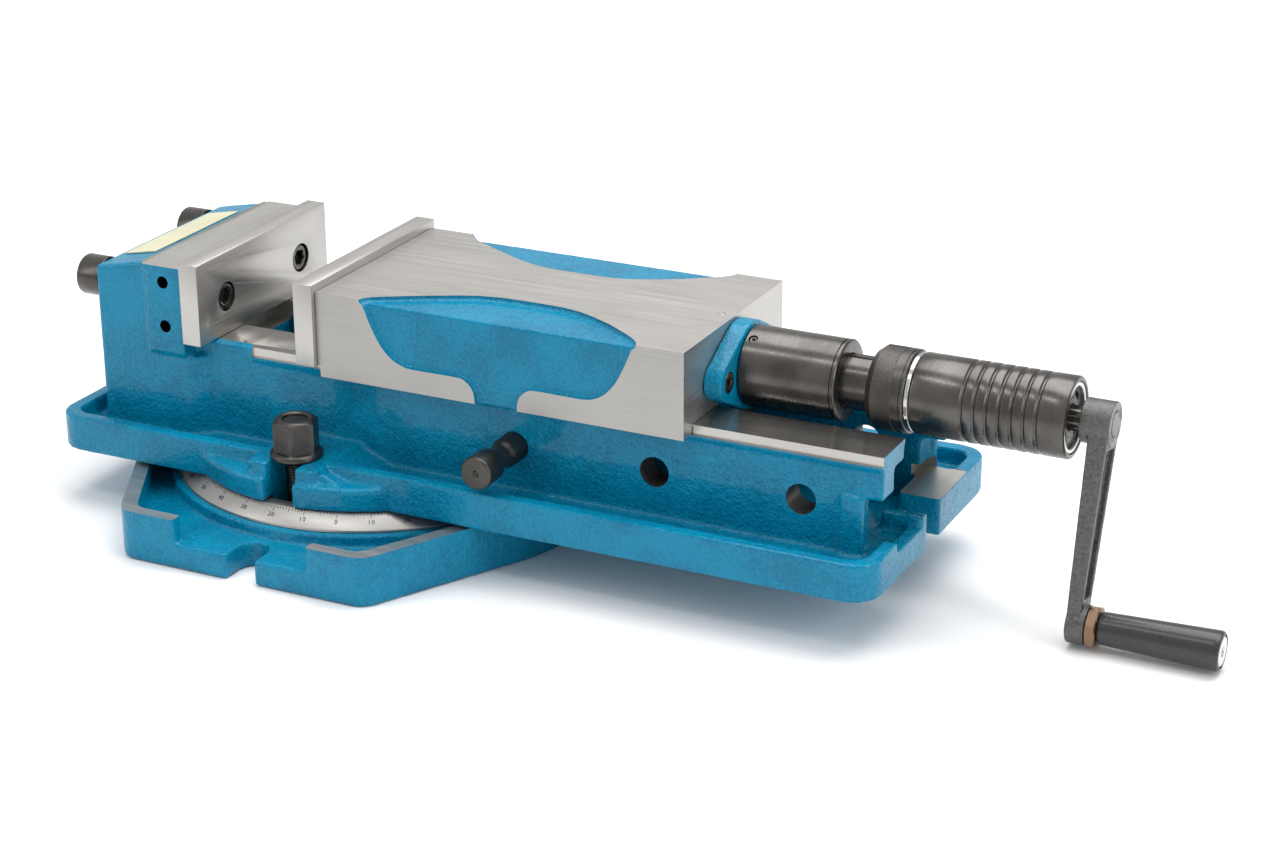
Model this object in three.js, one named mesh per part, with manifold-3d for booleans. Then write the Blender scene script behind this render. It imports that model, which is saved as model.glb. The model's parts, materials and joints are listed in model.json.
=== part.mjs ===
// Hydraulic machine vise on a swivel base, as an assembly of separate pieces.
// Millimetres, +Z up. The origin is on the swivel axis at the underside of the base;
// +X runs along the bed from the fixed jaw to the crank, and -Y is the operator's side.
import * as THREE from 'three';
import { mergeVertices } from 'three/addons/utils/BufferGeometryUtils.js';
import Module from 'manifold-3d';

const wasm = await Module();
wasm.setup();

// ---------------------------------------------------------------- driving dimensions
const GAP = 0.3;              // clearance between neighbouring pieces
const JAW_HALF = 80;          // half the jaw width
const PLATE_THICK = 14.3;
const PLATE_LOW = 116;        // jaw plates, bottom and top
const PLATE_TOP = 172.4;
const OPENING = 75;           // distance between the plates as the vise stands
const CLAMP_FACE_X = -86;     // face of the fixed plate
const RAIL_TOP = 115.6;
const RAIL_THICK = 14;
const RAIL_IN = 28;
const RAIL_OUT = 64;
const WALL_IN = 44;
const BED_END = 396;          // end of the rails
const WALL_END = 380;         // end of the walls below the rails' overhang
const OVERHANG_LOW = 86.6;
const FLANGE_LOW = 36.1;      // bed flange with its raised lip
const TRAY_FLOOR = 48.6;
const FLANGE_TOP = 61.1;
const FLANGE_START = -192;
const FLANGE_END = 406;
const FLANGE_HALF = 106;
const LIP = 10;
const BLOCK_BACK = -172;      // casting behind the fixed jaw
const BLOCK_HALF = 75;
const BLOCK_TOP = 168;
const BLOCK_BACK_TOP = 160;
const STRIP_BACK = -132;      // back edge of the ground top strip
const PAD_HALF = 78;
const PIN_X = 142.4;          // first locating hole; the others follow at PIN_PITCH
const PIN_PITCH = 100;
const PIN_COUNT = 3;
const PIN_Z = 79.1;
const PIN_R = 9.8;
const AXIS_Z = 135.8;         // spindle axis
const JAW_BACK = 268.5;       // moving jaw casting
const JAW_FRONT = 5.2;
const JAW_SIDE = 76.3;
const JAW_LOW = 109;
const JAW_TOP = 166.9;
const CAVITY = [80, 238.5];   // room for the nut block inside the moving jaw
const SCREW_Y = 46;           // jaw plate screws
const SCREW_Z = 141.5;
const BACK_SCREW_Y = 59;      // screws through the back of the fixed jaw
const BACK_SCREW_Z = 147;
const STUD_R = 8;
const STUD_CIRCLE = 101;      // swivel clamp bolts
const LUG_TOP = 61.3;
const BASE_FLOOR = 17.1;
const BASE_RIM = 34;
const SEAT_TOP = 25;
const BOSS_R = 114;           // round boss under the bed, inside the degree ring
const CYL_R = 26.2;           // power unit
const SLEEVE_R = 25.8;
const NECK_R = 17.5;
const ROD_R = 15;
const UNIT_END = 494.5;
const CRANK_X = 506;          // back face of the crank arm
const CRANK_THROW = 125;
const CRANK_LEAN = THREE.MathUtils.degToRad(12.7);
const GRIP_LONG = 76;

// ---------------------------------------------------------------- materials
const surface = (color, roughness, metalness) =>
  new THREE.MeshStandardMaterial({ color, roughness, metalness });
const PAINT = surface(0x0a7fb5, 0.42, 0.1);
const GROUND = surface(0xb9b6b1, 0.34, 0.9);
const BLACK = surface(0x2f2e2d, 0.38, 0.75);
const CHROME = surface(0xd8d8d8, 0.12, 1.0);
const BRONZE = surface(0x6d5644, 0.45, 0.7);
const GRIP = surface(0x1b1b1c, 0.5, 0.0);
const CAST = surface(0x55575a, 0.6, 0.5);
const LABEL = surface(0xd9d7bf, 0.5, 0.2);

// ---------------------------------------------------------------- shape helpers
function solid(geometry) {
  geometry.deleteAttribute('normal');
  geometry.deleteAttribute('uv');
  const merged = mergeVertices(geometry, 1e-4);
  return new wasm.Manifold(new wasm.Mesh({
    numProp: 3,
    vertProperties: new Float32Array(merged.attributes.position.array),
    triVerts: new Uint32Array(merged.index.array),
  }));
}

function box(x0, x1, y0, y1, z0, z1) {
  const geometry = new THREE.BoxGeometry(x1 - x0, y1 - y0, z1 - z0);
  geometry.translate((x0 + x1) / 2, (y0 + y1) / 2, (z0 + z1) / 2);
  return solid(geometry);
}

// A full-width box about the plane y = 0.
const slab = (x0, x1, half, z0, z1) => box(x0, x1, -half, half, z0, z1);

function prism(shape, z0, z1, steps = 5) {
  const geometry = new THREE.ExtrudeGeometry(shape, {
    depth: z1 - z0, bevelEnabled: false, curveSegments: steps });
  geometry.translate(0, 0, z0);
  return solid(geometry);
}

// A shape drawn in X and Z, extruded along Y.
function prismY(shape, y0, y1, steps = 5) {
  const geometry = new THREE.ExtrudeGeometry(shape, {
    depth: y1 - y0, bevelEnabled: false, curveSegments: steps });
  geometry.rotateX(Math.PI / 2);
  geometry.translate(0, y1, 0);
  return solid(geometry);
}

// Radius and height pairs turned about Z; the profile starts and ends on the axis,
// or closes on itself for a ring.
function turned(profile, steps = 28) {
  const points = profile.map(([r, z]) => new THREE.Vector2(r, z));
  const geometry = new THREE.LatheGeometry(points, steps);
  geometry.rotateX(Math.PI / 2);
  return solid(geometry);
}

const disc = (r, z0, z1, steps = 28) => turned([[0, z0], [r, z0], [r, z1], [0, z1]], steps);

const ring = (rIn, rOut, z0, z1, steps = 28) =>
  turned([[rIn, z0], [rOut, z0], [rOut, z1], [rIn, z1], [rIn, z0]], steps);

const hexagon = (acrossFlats, z0, z1) =>
  disc(acrossFlats / Math.sqrt(3), z0, z1, 6);

// Turns a solid made along +Z so that it runs along +X, +Y, or out of one side.
const alongX = (part) => part.rotate([0, 90, 0]);
const alongY = (part) => part.rotate([-90, 0, 0]);
const outward = (part, side) => part.rotate([side * -90, 0, 0]);

const union = (parts) => parts.reduce((whole, part) => whole.add(part));
const cut = (body, tools) => tools.reduce((rest, tool) => rest.subtract(tool), body);

function polygon(points) {
  const shape = new THREE.Shape();
  shape.setFromPoints(points.map(([x, y]) => new THREE.Vector2(x, y)));
  return shape;
}

function roundedRect(x0, x1, y0, y1, r) {
  const shape = new THREE.Shape();
  shape.absarc(x1 - r, y0 + r, r, -Math.PI / 2, 0, false);
  shape.absarc(x1 - r, y1 - r, r, 0, Math.PI / 2, false);
  shape.absarc(x0 + r, y1 - r, r, Math.PI / 2, Math.PI, false);
  shape.absarc(x0 + r, y0 + r, r, Math.PI, Math.PI * 1.5, false);
  return shape;
}

// A slot along Y between two ends, round at the inner end, cut well past the outer one.
function endSlot(half, innerY, outerY, z0, z1) {
  const shape = new THREE.Shape();
  shape.absarc(0, innerY - half, half, 0, Math.PI, false);
  shape.lineTo(-half, outerY);
  shape.lineTo(half, outerY);
  return prism(shape, z0, z1);
}

// ---------------------------------------------------------------- the scene graph
const vise = new THREE.Group();

function piece(name, body, material, parent = vise) {
  const { vertProperties, triVerts } = body.getMesh();
  const geometry = new THREE.BufferGeometry();
  geometry.setAttribute('position', new THREE.BufferAttribute(vertProperties, 3));
  geometry.setIndex(new THREE.BufferAttribute(triVerts, 1));
  geometry.computeVertexNormals();
  const mesh = new THREE.Mesh(geometry, material);
  mesh.name = name;
  parent.add(mesh);
  return mesh;
}

function placed(parent, x, y, z) {
  const group = new THREE.Group();
  group.position.set(x, y, z);
  parent.add(group);
  return group;
}

const SIDES = [['near', -1], ['far', 1]];

// A socket-head cap screw: the head's top face is at 0 and the shank runs to -Z.
function capScrew(headR, headHigh, shankR, shankLong, socket, steps = 14) {
  const chamfer = headR * 0.1;
  const body = turned([[0, -headHigh - shankLong], [shankR, -headHigh - shankLong],
    [shankR, -headHigh], [headR, -headHigh], [headR, -chamfer], [headR - chamfer, 0],
    [0, 0]], steps);
  return body.subtract(hexagon(socket, -headHigh * 0.6, 1));
}

// ---------------------------------------------------------------- swivel base
function basePlan(inset) {
  const middle = 163 - inset;
  const turn = Math.asin(62 / 163);
  const corner = 16 - inset * 0.5;
  const cornerX = 82 - inset * 0.5;
  const cornerY = 158 - inset * 0.5;
  const lean = 28.4 * Math.PI / 180;
  const shape = new THREE.Shape();
  shape.absarc(0, 0, middle, -turn, turn, false);
  shape.absarc(cornerX, cornerY, corner, lean, Math.PI / 2, false);
  shape.absarc(-cornerX, cornerY, corner, Math.PI / 2, Math.PI - lean, false);
  shape.absarc(0, 0, middle, Math.PI - turn, Math.PI + turn, false);
  shape.absarc(-cornerX, -cornerY, corner, Math.PI + lean, Math.PI * 1.5, false);
  shape.absarc(cornerX, -cornerY, corner, -Math.PI / 2, -lean, false);
  return shape;
}

function swivelBase() {
  const outer = prism(basePlan(0), 0, BASE_RIM);
  const hollow = prism(basePlan(9), BASE_FLOOR, BASE_RIM + 1);
  const seat = disc(141, BASE_FLOOR - 1, SEAT_TOP, 48);
  const tools = [
    ring(92, 110, 8, SEAT_TOP + 1, 48),
    ring(85, 117, 7.5, 15, 48),
    disc(20 + GAP, 9, SEAT_TOP + 1, 28),
  ];
  for (const side of [-1, 1]) {
    const notch = box(-50, 50, 150, 180, BASE_FLOOR, BASE_RIM + 1);
    const slot = endSlot(10.5, -147, -180, -1, BASE_RIM);
    tools.push(side < 0 ? notch.mirror([0, 1, 0]) : notch);
    tools.push(side < 0 ? slot : slot.mirror([0, 1, 0]));
  }
  return cut(outer.subtract(hollow).add(seat), tools);
}

piece('swivel_base', swivelBase(), PAINT);
piece('degree_ring', turned([[117.5, SEAT_TOP + GAP], [136, SEAT_TOP + GAP],
  [136, SEAT_TOP + 2], [126, FLANGE_LOW - 0.5], [117.5, FLANGE_LOW - 0.5],
  [117.5, SEAT_TOP + GAP]], 48), GROUND);
piece('pivot_pin', disc(20, 9 + GAP, 43.5), GROUND);

// ---------------------------------------------------------------- bed
function bedFlange() {
  const outline = roundedRect(FLANGE_START, FLANGE_END, -FLANGE_HALF, FLANGE_HALF, 18);
  const tray = roundedRect(FLANGE_START + LIP, FLANGE_END - LIP,
    -FLANGE_HALF + LIP, FLANGE_HALF - LIP, 10);
  const plate = prism(outline, FLANGE_LOW, FLANGE_TOP);
  const round = disc(128, FLANGE_LOW, FLANGE_TOP - 9, 48);
  const boss = disc(BOSS_R, SEAT_TOP + GAP, FLANGE_LOW + 1, 48);
  return union([plate, round]).subtract(prism(tray, TRAY_FLOOR, FLANGE_TOP + 1)).add(boss);
}

// The pads that carry the clamp nuts, with a sloping rib beside each.
function clampLug() {
  const pad = prism(roundedRect(-27, 27, -122, -60, 5), FLANGE_LOW, LUG_TOP);
  const rib = prismY(polygon([[20, TRAY_FLOOR - 2], [56, TRAY_FLOOR - 2], [20, LUG_TOP]]),
    -116, -64);
  return pad.add(rib);
}

function rails() {
  const parts = [];
  const start = CLAMP_FACE_X - 20;
  for (const side of [-1, 1]) {
    const wall = box(start, WALL_END, WALL_IN, RAIL_OUT, TRAY_FLOOR - 1, RAIL_TOP - 1);
    const end = box(WALL_END - 1, BED_END, WALL_IN, RAIL_OUT, OVERHANG_LOW, RAIL_TOP - 1);
    const rail = box(start, BED_END, RAIL_IN, RAIL_OUT, RAIL_TOP - RAIL_THICK, RAIL_TOP);
    const whole = union([wall, end, rail]);
    parts.push(side > 0 ? whole : whole.mirror([0, 1, 0]));
  }
  return union(parts);
}

function fixedBlock() {
  const front = CLAMP_FACE_X - PLATE_THICK - GAP;
  const side = polygon([[BLOCK_BACK, TRAY_FLOOR - 1], [front, TRAY_FLOOR - 1],
    [front, BLOCK_TOP], [STRIP_BACK, BLOCK_TOP], [BLOCK_BACK, BLOCK_BACK_TOP]]);
  const body = prismY(side, -BLOCK_HALF, BLOCK_HALF);
  const pad = slab(STRIP_BACK + 2, front, PAD_HALF, 106, BLOCK_TOP);
  const shoulder = prism(polygon([[front - 2, -BLOCK_HALF], [front, -BLOCK_HALF],
    [front + 14, -RAIL_OUT], [front + 14, RAIL_OUT], [front, BLOCK_HALF],
    [front - 2, BLOCK_HALF]]), TRAY_FLOOR - 1, 105);
  const pocket = slab(BLOCK_BACK - 1, BLOCK_BACK + 34, 42, 62, 134);
  return union([body, pad, shoulder]).subtract(pocket);
}

function bed() {
  const lug = clampLug();
  const endPads = union([box(378, FLANGE_END, 11, 62, TRAY_FLOOR - 1, FLANGE_TOP),
    box(378, FLANGE_END - LIP + 1, -20, -11, TRAY_FLOOR - 1, FLANGE_TOP - 1)]);
  const body = union([bedFlange(), lug, lug.rotate([0, 0, 180]), rails(), fixedBlock(),
    endPads]);
  const tools = [
    disc(20 + GAP, SEAT_TOP - 1, 44, 28),
    box(FLANGE_END - LIP - 1, FLANGE_END + 1, -62, -20, FLANGE_TOP - 7, FLANGE_TOP + 1),
    endSlot(11, -FLANGE_END + 23, -FLANGE_END - 5, FLANGE_LOW - 1, FLANGE_TOP + 1)
      .rotate([0, 0, 90]),
  ];
  for (const [, side] of SIDES) {
    const slot = endSlot(10.7, -STUD_CIRCLE + 10.7, -140, SEAT_TOP - 1, LUG_TOP + 1);
    tools.push(side < 0 ? slot : slot.rotate([0, 0, 180]));
    const plateHole = alongX(disc(6 + GAP, 0, 36, 20));
    tools.push(plateHole.translate([CLAMP_FACE_X - 49, side * SCREW_Y, SCREW_Z]));
    const backHole = alongX(disc(8 + GAP, -1, 30, 20));
    tools.push(backHole.translate([BLOCK_BACK, side * BACK_SCREW_Y, BACK_SCREW_Z]));
    for (const z of [126, 157]) {
      const hole = outward(disc(4.4, -12, 2, 16), side);
      tools.push(hole.translate([-115, side * PAD_HALF, z]));
    }
  }
  for (let i = 0; i < PIN_COUNT; i += 1) {
    const hole = alongY(disc(PIN_R + 0.5, -70, 70, 24));
    tools.push(hole.translate([PIN_X + i * PIN_PITCH, 0, PIN_Z]));
  }
  return cut(body, tools);
}

piece('bed', bed(), PAINT);

// ---------------------------------------------------------------- swivel clamps
const CLAMP_HEAD_LOW = 8;
for (const [name, side] of SIDES) {
  const clamp = placed(vise, 0, side * STUD_CIRCLE, 0);
  const head = prism(roundedRect(-11, 11, -11, 11, 2), CLAMP_HEAD_LOW, 14.5);
  piece(`clamp_bolt_${name}`, head.add(disc(STUD_R, 14, 92, 24)), BLACK, clamp);
  const nut = union([disc(17.5, LUG_TOP + GAP, LUG_TOP + 4.3, 24),
    hexagon(27, LUG_TOP + 4, LUG_TOP + 27)])
    .intersect(turned([[0, LUG_TOP], [18, LUG_TOP], [18, LUG_TOP + 23.5],
      [13, LUG_TOP + 27], [0, LUG_TOP + 27]], 24));
  piece(`clamp_nut_${name}`, nut.subtract(disc(STUD_R + GAP, 60, 95, 24)), BLACK, clamp);
}

// ---------------------------------------------------------------- fixed jaw
function jawPlate(faceSign) {
  const x0 = faceSign > 0 ? -PLATE_THICK : 0;
  const body = slab(x0, x0 + PLATE_THICK, JAW_HALF, PLATE_LOW, PLATE_TOP);
  const tools = [];
  for (const [, side] of SIDES) {
    const hole = disc(6 + GAP, -PLATE_THICK - 1, 1, 24);
    const counterbore = disc(10, -9.5, 1, 24);
    const bore = hole.add(counterbore).rotate([0, faceSign * 90, 0]);
    tools.push(bore.translate([0, side * SCREW_Y, SCREW_Z]));
  }
  return cut(body, tools);
}

const fixedJaw = placed(vise, CLAMP_FACE_X, 0, 0);
piece('fixed_jaw_plate', jawPlate(1), GROUND, fixedJaw);
for (const [name, side] of SIDES) {
  const spot = placed(fixedJaw, -1.2, side * SCREW_Y, SCREW_Z);
  piece(`fixed_plate_screw_${name}`, alongX(capScrew(9, 8, 6, 34, 10)), BLACK, spot);
  const back = placed(vise, BLOCK_BACK - 18.3, side * BACK_SCREW_Y, BACK_SCREW_Z);
  piece(`back_screw_${name}`, alongX(capScrew(14, 18, 8, 28, 14)).mirror([1, 0, 0]),
    BLACK, back);
}

// A blank name plate on the sloping top of the casting.
const slope = Math.atan((BLOCK_TOP - BLOCK_BACK_TOP) / (STRIP_BACK - BLOCK_BACK));
const plateSpot = placed(vise, (STRIP_BACK + BLOCK_BACK) / 2, 0,
  (BLOCK_TOP + BLOCK_BACK_TOP) / 2);
plateSpot.rotation.y = -slope;
piece('name_plate', slab(-13, 13, 50, GAP, GAP + 0.6), LABEL, plateSpot);

// ---------------------------------------------------------------- nut block and pin
function nutBlock() {
  const foot = slab(PIN_X - 20, PIN_X + 20, WALL_IN - 1, 56, RAIL_TOP - RAIL_THICK - 1);
  const neck = slab(PIN_X - 20, PIN_X + 20, RAIL_IN - 1, 90, 150);
  const pinHole = alongY(disc(PIN_R + 0.5, -60, 60, 24)).translate([PIN_X, 0, PIN_Z]);
  const thread = alongX(disc(ROD_R + 0.4, PIN_X - 30, PIN_X + 30, 24));
  return cut(foot.add(neck), [pinHole, thread.translate([0, 0, AXIS_Z])]);
}

piece('nut_block', nutBlock(), CAST);

const PIN_OUT = 116;
const pinProfile = [[0, -62], [PIN_R, -62], [PIN_R, 78], [7.6, 84], [7.6, 92], [11, 98],
  [11, PIN_OUT - 1.5], [9.5, PIN_OUT], [0, PIN_OUT]];
piece('locating_pin', outward(turned(pinProfile, 24), -1), BLACK,
  placed(vise, PIN_X, 0, PIN_Z));

// ---------------------------------------------------------------- moving jaw
const WAIST_X = 136.2;        // the jaw's recesses are symmetrical about this station

function sideRecess() {
  const high = JAW_TOP + 2;
  const shape = new THREE.Shape();
  for (const hand of [-1, 1]) {
    const at = (dx) => WAIST_X + hand * dx;
    const run = [[15, JAW_LOW - 1], [16, 117], [20, 122.5], [26, 125], [66, 125],
      [78, 131], [88, 143], [98, high]];
    const steps = hand < 0 ? [...run].reverse() : run;
    steps.forEach(([dx, z], i) => {
      if (hand < 0 && i === 0) shape.moveTo(at(dx), z);
      else shape.lineTo(at(dx), z);
    });
  }
  return prismY(shape, -JAW_SIDE - 1, -JAW_SIDE + 3);
}

// The dished ledge beside the ground top face.
function topLedge() {
  const out = -JAW_SIDE - 2;
  const shape = new THREE.Shape();
  shape.moveTo(WAIST_X - 98, out);
  shape.lineTo(WAIST_X - 97, -67);
  shape.lineTo(WAIST_X - 34, -36);
  shape.quadraticCurveTo(WAIST_X - 26, -32.5, WAIST_X - 16, -32.5);
  shape.lineTo(WAIST_X + 22, -32.5);
  shape.quadraticCurveTo(WAIST_X + 34, -32.5, WAIST_X + 42, -36);
  shape.lineTo(WAIST_X + 97, -67);
  shape.lineTo(WAIST_X + 98, out);
  return prism(shape, JAW_TOP - 2, JAW_TOP + 1, 6);
}

function movingJaw() {
  const body = slab(JAW_FRONT, JAW_BACK, JAW_SIDE, JAW_LOW, JAW_TOP);
  const seat = slab(PLATE_THICK - 11 + GAP, JAW_FRONT + 1, 74, PLATE_LOW + 1, JAW_TOP - 1.5);
  const over = box(-20, JAW_BACK + 1, -RAIL_OUT - 0.4, RAIL_OUT + 0.4, JAW_LOW - 1,
    RAIL_TOP + GAP);
  const tongues = union([slab(10, 75, RAIL_IN - 0.5, 102, RAIL_TOP + 2),
    slab(240, 266, RAIL_IN - 0.5, 102, RAIL_TOP + 2)]);
  const tools = [
    slab(CAVITY[0], CAVITY[1], 45, 100, 152),
    alongX(disc(ROD_R + 1, CAVITY[1] - 2, JAW_BACK + 1, 24)).translate([0, 0, AXIS_Z]),
    alongX(disc(24 + GAP, 251.5, JAW_BACK + 1, 28)).translate([0, 0, AXIS_Z]),
    disc(3.3, JAW_TOP - 4, JAW_TOP + 1, 20).translate([259, 0, 0]),
  ];
  const recess = sideRecess();
  const ledge = topLedge();
  tools.push(recess, recess.mirror([0, 1, 0]), ledge, ledge.mirror([0, 1, 0]));
  for (const [, side] of SIDES) {
    const plateHole = alongX(disc(6 + GAP, 0, 30, 20));
    tools.push(plateHole.translate([2, side * SCREW_Y, SCREW_Z]));
    const flangeHole = alongX(disc(4 + GAP, -18, 1, 20));
    tools.push(flangeHole.translate([JAW_BACK, side * 36, AXIS_Z]));
    for (const x of [30, 55, 253]) {
      tools.push(disc(4 + GAP, 90, 112, 16).translate([x, side * 16, 0]));
    }
  }
  return cut(body.subtract(over).add(seat).add(tongues), tools);
}

const jawGroup = placed(vise, 0, 0, 0);
piece('moving_jaw', movingJaw(), PAINT, jawGroup);
const movingPlate = placed(jawGroup, CLAMP_FACE_X + OPENING, 0, 0);
piece('moving_jaw_plate', jawPlate(-1), GROUND, movingPlate);
for (const [name, side] of SIDES) {
  const spot = placed(movingPlate, 1.2, side * SCREW_Y, SCREW_Z);
  piece(`moving_plate_screw_${name}`,
    alongX(capScrew(9, 8, 6, 30, 10)).mirror([1, 0, 0]), BLACK, spot);
}

// Keepers that hook under the rails, each with a pair of screws from below.
const KEEPER_TOP = RAIL_TOP - RAIL_THICK - GAP;
const KEEPERS = { front: [12, 73, [30, 55]], rear: [241, 265, [253]] };
for (const [end, [x0, x1, screws]] of Object.entries(KEEPERS)) {
  const tools = [];
  for (const x of screws) {
    for (const [, side] of SIDES) {
      const bore = disc(4 + GAP, 80, 110, 16).add(disc(7, 80, 93, 20));
      tools.push(bore.translate([x, side * 16, 0]));
    }
  }
  piece(`keeper_${end}`, cut(slab(x0, x1, WALL_IN - 2, 87, KEEPER_TOP), tools), CAST,
    jawGroup);
  for (const x of screws) {
    for (const [name, side] of SIDES) {
      const spot = placed(jawGroup, x, side * 16, 92.6);
      spot.rotation.x = Math.PI;
      const screw = capScrew(6.5, 5, 4, 17, 5, 12).translate([0, 0, 5]);
      piece(`keeper_screw_${Math.round(x)}_${name}`, screw, BLACK, spot);
    }
  }
}

piece('oil_plug', disc(3, -3.6, 0.4, 20), CHROME, placed(jawGroup, 259, 0, JAW_TOP - 0.2));

// ---------------------------------------------------------------- mount flange
function mountFlange() {
  const outline = new THREE.Shape();
  const bigR = 29;
  const lobeR = 12.5;
  const reach = 36;
  const lean = Math.acos((bigR - lobeR) / reach);
  outline.absarc(0, 0, bigR, lean, Math.PI - lean, false);
  outline.absarc(-reach, 0, lobeR, Math.PI - lean, Math.PI + lean, false);
  outline.absarc(0, 0, bigR, Math.PI + lean, Math.PI * 2 - lean, false);
  outline.absarc(reach, 0, lobeR, -lean, lean, false);
  const plate = prism(outline, GAP, 12.5).rotate([0, 0, 90]);
  const spigot = disc(24, -6, GAP + 1);
  const holes = SIDES.map(([, side]) => {
    const hole = disc(4 + GAP, -2, 14, 16).add(disc(7, 7.5, 14, 20));
    return hole.translate([0, side * reach, 0]);
  });
  return alongX(cut(plate.add(spigot), [disc(20 + GAP, -7, 14), ...holes]));
}

const flangeSpot = placed(jawGroup, JAW_BACK, 0, AXIS_Z);
piece('mount_flange', mountFlange(), PAINT, flangeSpot);
for (const [name, side] of SIDES) {
  const spot = placed(flangeSpot, 12.8, side * 36, 0);
  piece(`flange_screw_${name}`, alongX(capScrew(6.5, 5, 4, 22, 5, 16)), BLACK, spot);
}

// ---------------------------------------------------------------- power unit
const unit = placed(jawGroup, 0, 0, AXIS_Z);
const SET_SCREWS = [[287, -30], [287, 100], [338, 95]];  // place along X, degrees from -Y

function powerCylinder() {
  const body = turned([[0, 252], [24, 252], [24, 262], [20, 262], [20, 281.6],
    [CYL_R, 281.6], [CYL_R, 343.5], [CYL_R - 0.8, 343.5], [CYL_R - 0.8, 344.2],
    [CYL_R, 344.2], [CYL_R, 346], [CYL_R - 1, 347], [0, 347]], 24);
  const tools = [disc(ROD_R + GAP, 251, 276, 24), disc(NECK_R + GAP, 330, 348)];
  for (const [x, angle] of SET_SCREWS) {
    const hole = disc(3, CYL_R - 5, CYL_R + 1, 16).rotate([0, 90, 0]);
    tools.push(hole.rotate([0, 0, 180 - angle]).translate([0, 0, x]));
  }
  return alongX(cut(body, tools));
}

piece('power_cylinder', powerCylinder(), BLACK, unit);
SET_SCREWS.forEach(([x, angle], i) => {
  const screw = disc(3 - GAP, CYL_R - 4.6, CYL_R - 0.9, 16)
    .subtract(hexagon(2.6, CYL_R - 2.4, CYL_R)).rotate([0, 90, 0]);
  const aimed = screw.rotate([0, 0, 180 - angle]).translate([0, 0, x]);
  piece(`set_screw_${i + 1}`, alongX(aimed), CHROME, unit);
});

const rod = turned([[0, 84], [ROD_R - 3, 84], [ROD_R, 87], [ROD_R, 275.6], [0, 275.6]], 24);
piece('spindle_screw', alongX(rod), GROUND, unit);

function neckTube() {
  const tube = turned([[11, 330.4], [NECK_R, 330.4], [NECK_R, 399], [11, 399],
    [11, 330.4]], 28);
  const keyway = box(-NECK_R - 1, -NECK_R + 3, -3.2, 3.2, 348, 366);
  return alongX(tube.subtract(keyway));
}

piece('neck_tube', neckTube(), BLACK, unit);
piece('neck_key', alongX(box(-NECK_R - 0.4, -NECK_R + 2.7, -2.9, 2.9, 348.4, 365)),
  BLACK, unit);

const ringProfile = [[NECK_R + GAP, 366.6], [23.5, 366.6], [26.8, 371], [26.8, 389.4],
  [26.2, 389.4], [26.2, 390.2], [26.6, 390.2], [26.6, 392], [NECK_R + GAP, 392],
  [NECK_R + GAP, 366.6]];
piece('knurled_ring', alongX(turned(ringProfile, 24)), BLACK, unit);
piece('lock_ring', alongX(turned([[NECK_R + GAP, 392.3], [25.2, 392.3], [25.2, 395.2],
  [NECK_R + GAP, 395.2], [NECK_R + GAP, 392.3]], 24)), CHROME, unit);

const GROOVE_START = 427.5;
const GROOVE_PITCH = 7.9;
const GROOVE_COUNT = 7;

function ribbedSleeve() {
  const outer = [[NECK_R + GAP, 395.5], [SLEEVE_R, 395.5]];
  for (let i = 0; i < GROOVE_COUNT; i += 1) {
    const x = GROOVE_START + i * GROOVE_PITCH;
    outer.push([SLEEVE_R, x], [SLEEVE_R - 0.9, x + 1.3], [SLEEVE_R, x + 2.6]);
  }
  outer.push([SLEEVE_R, UNIT_END - 1], [SLEEVE_R - 1, UNIT_END], [22.5, UNIT_END],
    [22.5, 400], [NECK_R + GAP, 400], [NECK_R + GAP, 395.5]);
  return alongX(turned(outer, 24));
}

piece('ribbed_sleeve', ribbedSleeve(), BLACK, unit);

function endPlate() {
  const plate = turned([[8.4, 488], [22.2, 488], [22.2, 491.5], [8.4, 491.5],
    [8.4, 488]], 28);
  const slots = [45, 135, 225, 315].map((angle) => {
    const hole = disc(2.2, 487, 493, 12).translate([15.5, 0, 0]);
    return hole.rotate([0, 0, angle]);
  });
  return alongX(cut(plate, slots));
}

piece('end_plate', endPlate(), CAST, unit);
piece('end_ring', alongX(turned([[19.6, 491.8], [22.2, 491.8], [22.2, 493.8],
  [19.6, 493.8], [19.6, 491.8]], 28)), CHROME, unit);
const plunger = disc(10.6, 352, 425, 24).add(disc(15, 425 - 1, 431, 24));
piece('plunger', alongX(plunger), GROUND, unit);

// ---------------------------------------------------------------- crank
const crank = placed(unit, CRANK_X, 0, 0);
crank.rotation.x = -CRANK_LEAN;

const shaftHex = hexagon(15, -8, 13.2).intersect(disc(8, -9, 20, 24));
piece('drive_shaft', alongX(shaftHex.add(disc(8, 434 - CRANK_X, -7.9, 24))), BLACK, crank);

// The arm is an I-section bar between the hub and the eye of the handle.
function crankArm() {
  const hub = disc(14, -6, 13);
  const eye = disc(13, 0, 12, 24).translate([CRANK_THROW, 0, 0]);
  const outline = polygon([[0, -12.5], [CRANK_THROW, -10.5], [CRANK_THROW, 10.5],
    [0, 12.5]]);
  const web = prism(outline, 0, 12);
  const panel = polygon([[17, -8.2], [CRANK_THROW - 17, -6.8], [CRANK_THROW - 17, 6.8],
    [17, 8.2]]);
  const recess = prism(panel, 7.5, 13);
  const body = union([hub, eye, web]).subtract(recess);
  const bores = [hexagon(15 + GAP * 2, -10, 14).intersect(disc(8 + GAP, -11, 15, 24)),
    disc(6 + GAP, -1, 13, 24).translate([CRANK_THROW, 0, 0])];
  return alongX(cut(body, bores));
}

piece('crank_arm', crankArm(), BLACK, crank);

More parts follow.
